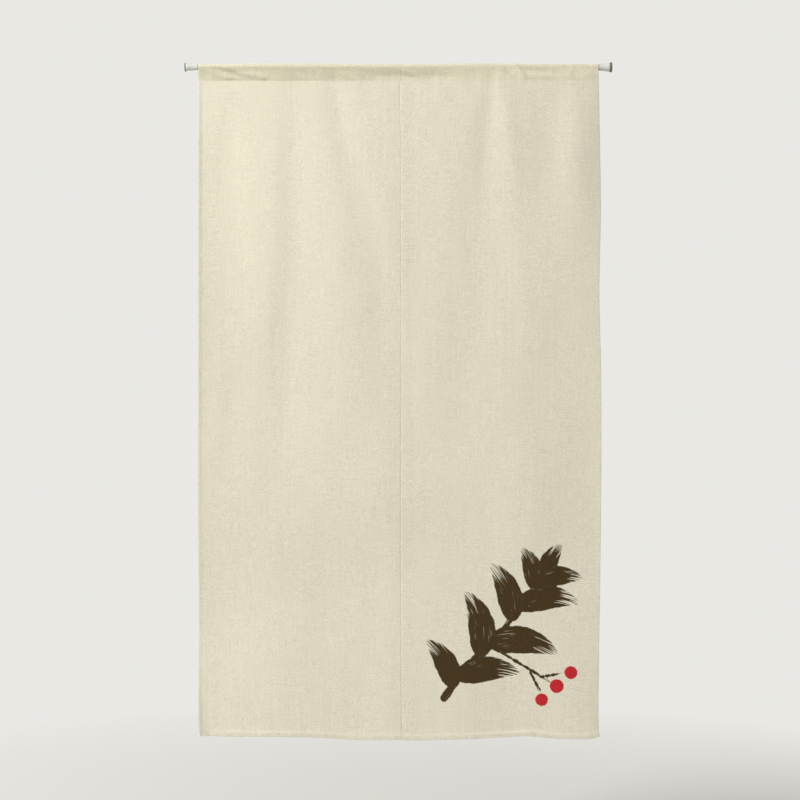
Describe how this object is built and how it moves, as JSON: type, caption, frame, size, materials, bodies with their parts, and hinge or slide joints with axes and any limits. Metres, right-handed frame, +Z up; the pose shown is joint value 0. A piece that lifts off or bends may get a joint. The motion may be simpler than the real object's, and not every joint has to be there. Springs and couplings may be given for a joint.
{
  "type": "noren curtain on tension rod",
  "caption": "Doorway curtain of two flat cloth panels meeting at a middle slit, hung by top pockets from a tension rod with capped ends.",
  "frame": {"origin": "middle of the left pad's outer face, on the rod's axis", "axes": "+X along the rod to the right end, +Z up, -Y out of the front of the cloth"},
  "size_m": [0.907, 0.0225, 1.4398],
  "materials": {
    "cloth": "matte plain weave",
    "rod": "satin",
    "cap": "satin",
    "pad": "matte"
  },
  "bodies": {
    "root": {"panel_left": "cloth", "panel_right": "cloth", "rod": "rod", "end_cap_left": "cap", "end_cap_right": "cap", "end_pad_left": "pad", "end_pad_right": "pad"}
  },
  "joints": []
}
